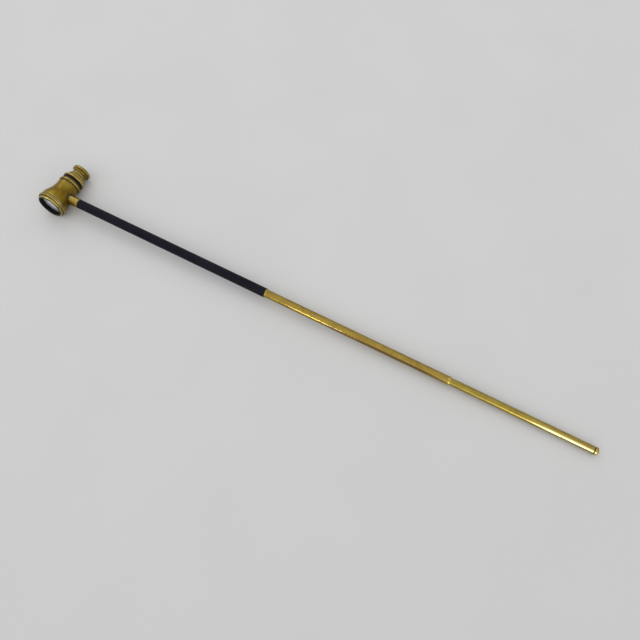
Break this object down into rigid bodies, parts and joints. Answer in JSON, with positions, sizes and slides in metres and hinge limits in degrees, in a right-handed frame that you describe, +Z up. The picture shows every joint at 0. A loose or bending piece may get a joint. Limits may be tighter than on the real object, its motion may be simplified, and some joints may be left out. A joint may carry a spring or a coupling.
{
  "type": "telescoping-stem monocular",
  "caption": "Small brass monocular barrel with a focusing eyepiece, carried crosswise on a slim three-section telescoping stem with a black outer section.",
  "frame": {"origin": "on the surface the object lies on, under the centre of its box", "axes": "+X along the stem from the head to the end button, +Y from the objective to the eyepiece, +Z up from the surface"},
  "size_m": [0.6356, 0.0596, 0.0322],
  "materials": {
    "brass_dull": "tarnished, turned",
    "brass_bright": "rubbed bright by sliding",
    "black_lacquer": "matte black lacquer",
    "black_japanning": "satin black japanning",
    "black_ebonite": "satin hard rubber",
    "felt": "felt",
    "lens_glass": "polished"
  },
  "bodies": {
    "head_and_grip": {"barrel": "brass_dull", "bezel_ring": "brass_dull", "objective_cell": "black_lacquer", "objective_crown_lens": "lens_glass", "objective_flint_lens": "lens_glass", "objective_retainer_ring": "black_lacquer", "rear_guide_ring": "brass_dull", "guide_felt": "felt", "handle_socket": "brass_dull", "handle_spigot": "brass_bright", "outer_tube": "black_japanning", "outer_ferrule": "brass_bright"},
    "eyepiece_draw": {"draw_tube": "brass_bright", "draw_stop_ring": "brass_bright", "eyepiece_collar": "black_ebonite", "eyepiece_body": "brass_dull", "eye_lens": "lens_glass", "eye_lens_retainer": "black_lacquer", "eye_cup": "brass_dull"},
    "middle_draw": {"middle_tube": "brass_bright", "middle_stop_ring": "brass_bright", "middle_spring_sleeve": "brass_bright", "middle_ferrule": "brass_bright"},
    "inner_draw": {"inner_tube": "brass_bright", "inner_stop_ring": "brass_bright", "inner_spring_sleeve": "brass_bright", "end_button": "brass_bright"}
  },
  "joints": [
    {"name": "focus_slide", "type": "slide", "parent": "head_and_grip", "child": "eyepiece_draw", "axis": [-0.0018, 0.9946, -0.1041], "range_m": [-0.0003, 0.0147]},
    {"name": "middle_draw_slide", "type": "slide", "parent": "head_and_grip", "child": "middle_draw", "axis": [0.9999, 0, -0.0169], "range_m": [-0.2037, 0]},
    {"name": "inner_draw_slide", "type": "slide", "parent": "middle_draw", "child": "inner_draw", "axis": [0.9999, 0, -0.0169], "range_m": [-0.1475, 0]}
  ]
}
